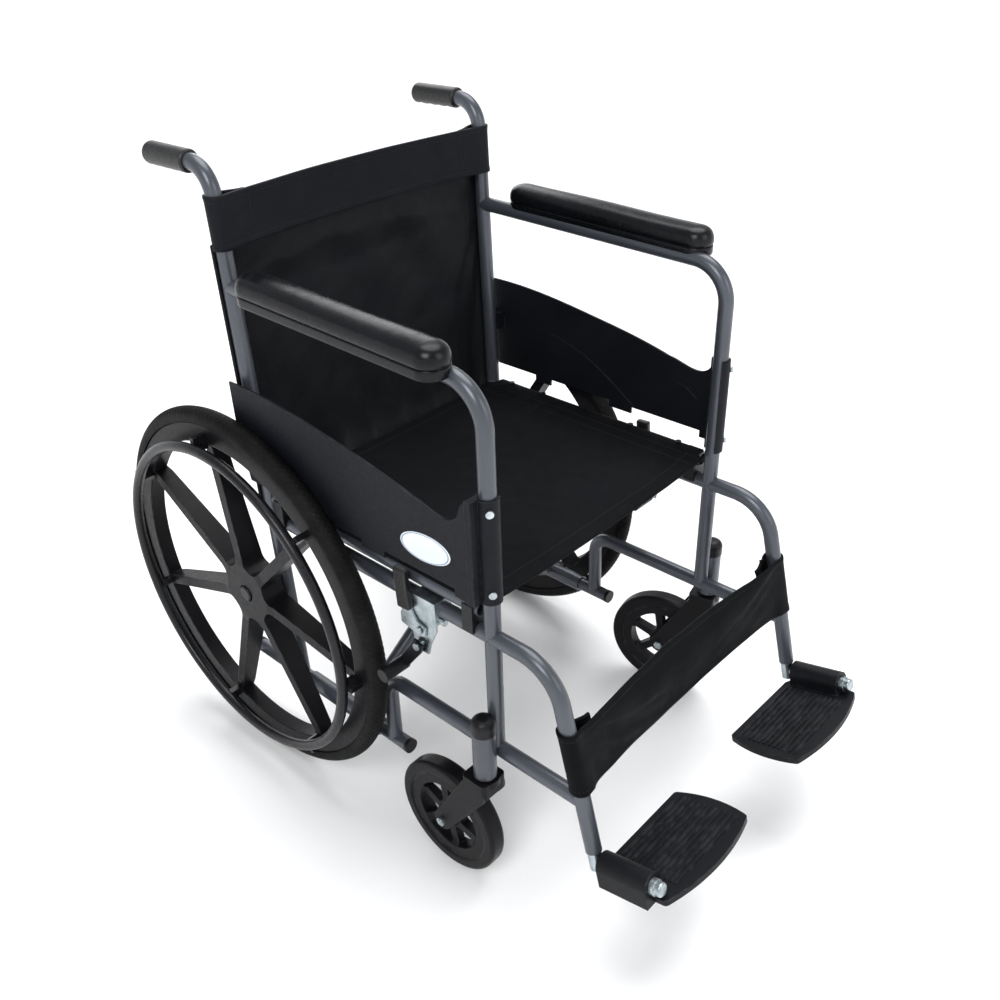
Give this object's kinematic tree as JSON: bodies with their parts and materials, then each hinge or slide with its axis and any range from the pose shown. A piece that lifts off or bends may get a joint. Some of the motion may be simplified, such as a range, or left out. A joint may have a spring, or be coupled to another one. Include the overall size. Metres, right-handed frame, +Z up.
{
  "type": "manual wheelchair",
  "caption": "Folding manual wheelchair with moulded spoked rear wheels, push rings, swivel casters, sling seat and back, padded arms, brakes and flip-up footplates.",
  "frame": {"origin": "centre of the bounding box's base, on the floor under the seat", "axes": "+Z up, the chair faces -Y, +X is the sitter's left"},
  "size_m": [0.66, 1.0672, 0.95],
  "materials": {
    "frame_paint": "dark blue-grey semi-gloss powder coat",
    "brace_paint": "dark blue-grey semi-gloss powder coat",
    "grip_rubber": "matt moulded rubber",
    "pad_vinyl": "fine-grained black vinyl over foam",
    "panel_plastic": "textured black plastic",
    "wheel_plastic": "moulded charcoal nylon",
    "rim_plastic": "smooth black push ring",
    "cap_plastic": "black plastic cap",
    "tyre_rubber": "solid dark grey tyre",
    "zinc": "bright zinc plate",
    "steel": "ground bearing steel",
    "fork_plastic": "black moulded fork",
    "foot_plastic": "charcoal moulded plastic",
    "seat_fabric": "blue-black nylon cloth",
    "screw_black": "zinc screws"
  },
  "bodies": {
    "frame_right": {"back_post_right": "frame_paint", "arm_tube_right": "frame_paint", "side_rail_right": "frame_paint", "lower_frame_right": "frame_paint", "handgrip_right": "grip_rubber", "arm_pad_right": "pad_vinyl", "side_panel_right": "panel_plastic", "panel_screws_right": "zinc", "end_caps_right": "cap_plastic", "seat_saddles_right": "cap_plastic", "rear_axle_right": "zinc", "brake_bracket_right": "zinc", "caster_bearings_right": "steel", "back_sling": "seat_fabric", "calf_strap": "seat_fabric"},
    "frame_left": {"back_post_left": "frame_paint", "arm_tube_left": "frame_paint", "side_rail_left": "frame_paint", "lower_frame_left": "frame_paint", "handgrip_left": "grip_rubber", "arm_pad_left": "pad_vinyl", "side_panel_left": "panel_plastic", "panel_screws_left": "zinc", "end_caps_left": "cap_plastic", "seat_saddles_left": "cap_plastic", "rear_axle_left": "zinc", "brake_bracket_left": "zinc", "caster_bearings_left": "steel"},
    "brace_a": {"brace_a": "brace_paint", "brace_bolt": "zinc", "seat_screws_a": "screw_black"},
    "brace_b": {"brace_b": "brace_paint", "seat_screws_b": "screw_black", "seat_sling": "seat_fabric"},
    "wheel_right": {"wheel_right": "wheel_plastic", "tyre_right": "tyre_rubber", "handrim_right": "rim_plastic", "wheel_bearings_right": "steel"},
    "caster_right": {"caster_fork_right": "fork_plastic", "caster_axle_right": "zinc"},
    "caster_wheel_right": {"caster_wheel_right": "wheel_plastic", "caster_tyre_right": "tyre_rubber"},
    "brake_lever_right": {"brake_lever_right": "zinc", "brake_grip_right": "grip_rubber"},
    "brake_arm_right": {"brake_arm_right": "cap_plastic"},
    "footrest_right": {"footplate_tube_right": "zinc"},
    "footplate_right": {"footplate_right": "foot_plastic"},
    "wheel_left": {"wheel_left": "wheel_plastic", "tyre_left": "tyre_rubber", "handrim_left": "rim_plastic", "wheel_bearings_left": "steel"},
    "caster_left": {"caster_fork_left": "fork_plastic", "caster_axle_left": "zinc"},
    "caster_wheel_left": {"caster_wheel_left": "wheel_plastic", "caster_tyre_left": "tyre_rubber"},
    "brake_lever_left": {"brake_lever_left": "zinc", "brake_grip_left": "grip_rubber"},
    "brake_arm_left": {"brake_arm_left": "cap_plastic"},
    "footrest_left": {"footplate_tube_left": "zinc"},
    "footplate_left": {"footplate_left": "foot_plastic"}
  },
  "joints": [
    {"name": "fold", "type": "hinge", "parent": "frame_right", "child": "brace_a", "pos_m": [-0.243, 0.046, 0.129], "axis": [0, -1, 0], "range_deg": [0, 45], "deforming": ["seat_sling", "back_sling", "calf_strap"]},
    {"name": "brace_cross", "type": "hinge", "parent": "brace_a", "child": "brace_b", "pos_m": [0, 0.058, 0.2975], "axis": [0, -1, 0], "range_deg": [-90, 0]},
    {"name": "brace_foot_left", "type": "hinge", "parent": "brace_b", "child": "frame_left", "pos_m": [0.243, 0.07, 0.129], "axis": [0, -1, 0], "range_deg": [0, 45]},
    {"name": "wheel_spin_right", "type": "hinge", "parent": "frame_right", "child": "wheel_right", "pos_m": [-0.286, 0.225, 0.302], "axis": [1, 0, 0], "continuous": true},
    {"name": "caster_swivel_right", "type": "hinge", "parent": "frame_right", "child": "caster_right", "pos_m": [-0.268, -0.247, 0.25], "axis": [0, 0, -1], "continuous": true},
    {"name": "caster_spin_right", "type": "hinge", "parent": "caster_right", "child": "caster_wheel_right", "pos_m": [-0.268, -0.177, 0.09], "axis": [1, 0, 0], "continuous": true},
    {"name": "brake_right", "type": "hinge", "parent": "frame_right", "child": "brake_lever_right", "pos_m": [-0.2615, -0.134, 0.395], "axis": [1, 0, 0], "range_deg": [0, 50]},
    {"name": "brake_press_right", "type": "hinge", "parent": "frame_right", "child": "brake_arm_right", "pos_m": [-0.266, -0.131, 0.369], "axis": [1, 0, 0], "range_deg": [0, 15]},
    {"name": "footrest_height_right", "type": "slide", "parent": "frame_right", "child": "footrest_right", "axis": [0, -0.2425, -0.9701], "range_m": [0, 0.06]},
    {"name": "footplate_flip_right", "type": "hinge", "parent": "footrest_right", "child": "footplate_right", "pos_m": [-0.243, -0.4138, 0.1547], "axis": [0, -0.9701, 0.2425], "range_deg": [0, 90]},
    {"name": "wheel_spin_left", "type": "hinge", "parent": "frame_left", "child": "wheel_left", "pos_m": [0.286, 0.225, 0.302], "axis": [1, 0, 0], "continuous": true},
    {"name": "caster_swivel_left", "type": "hinge", "parent": "frame_left", "child": "caster_left", "pos_m": [0.268, -0.247, 0.25], "axis": [0, 0, 1], "continuous": true},
    {"name": "caster_spin_left", "type": "hinge", "parent": "caster_left", "child": "caster_wheel_left", "pos_m": [0.25225, -0.17879, 0.09], "axis": [0.9744, 0.225, 0], "continuous": true},
    {"name": "brake_left", "type": "hinge", "parent": "frame_left", "child": "brake_lever_left", "pos_m": [0.2615, -0.134, 0.395], "axis": [1, 0, 0], "range_deg": [0, 50]},
    {"name": "brake_press_left", "type": "hinge", "parent": "frame_left", "child": "brake_arm_left", "pos_m": [0.266, -0.131, 0.369], "axis": [1, 0, 0], "range_deg": [0, 15]},
    {"name": "footrest_height_left", "type": "slide", "parent": "frame_left", "child": "footrest_left", "axis": [0, -0.2425, -0.9701], "range_m": [0, 0.06]},
    {"name": "footplate_flip_left", "type": "hinge", "parent": "footrest_left", "child": "footplate_left", "pos_m": [0.243, -0.4138, 0.1547], "axis": [0, 0.9701, -0.2425], "range_deg": [0, 90]}
  ],
  "couplings": [
    {"joint": "brace_cross", "follows": "fold", "ratio": -2},
    {"joint": "brace_foot_left", "follows": "fold", "ratio": 1},
    {"joint": "brake_press_right", "follows": "brake_right", "ratio": 0.29},
    {"joint": "footplate_flip_right", "follows": "fold", "ratio": 2},
    {"joint": "brake_press_left", "follows": "brake_left", "ratio": 0.29},
    {"joint": "footplate_flip_left", "follows": "fold", "ratio": 2}
  ]
}
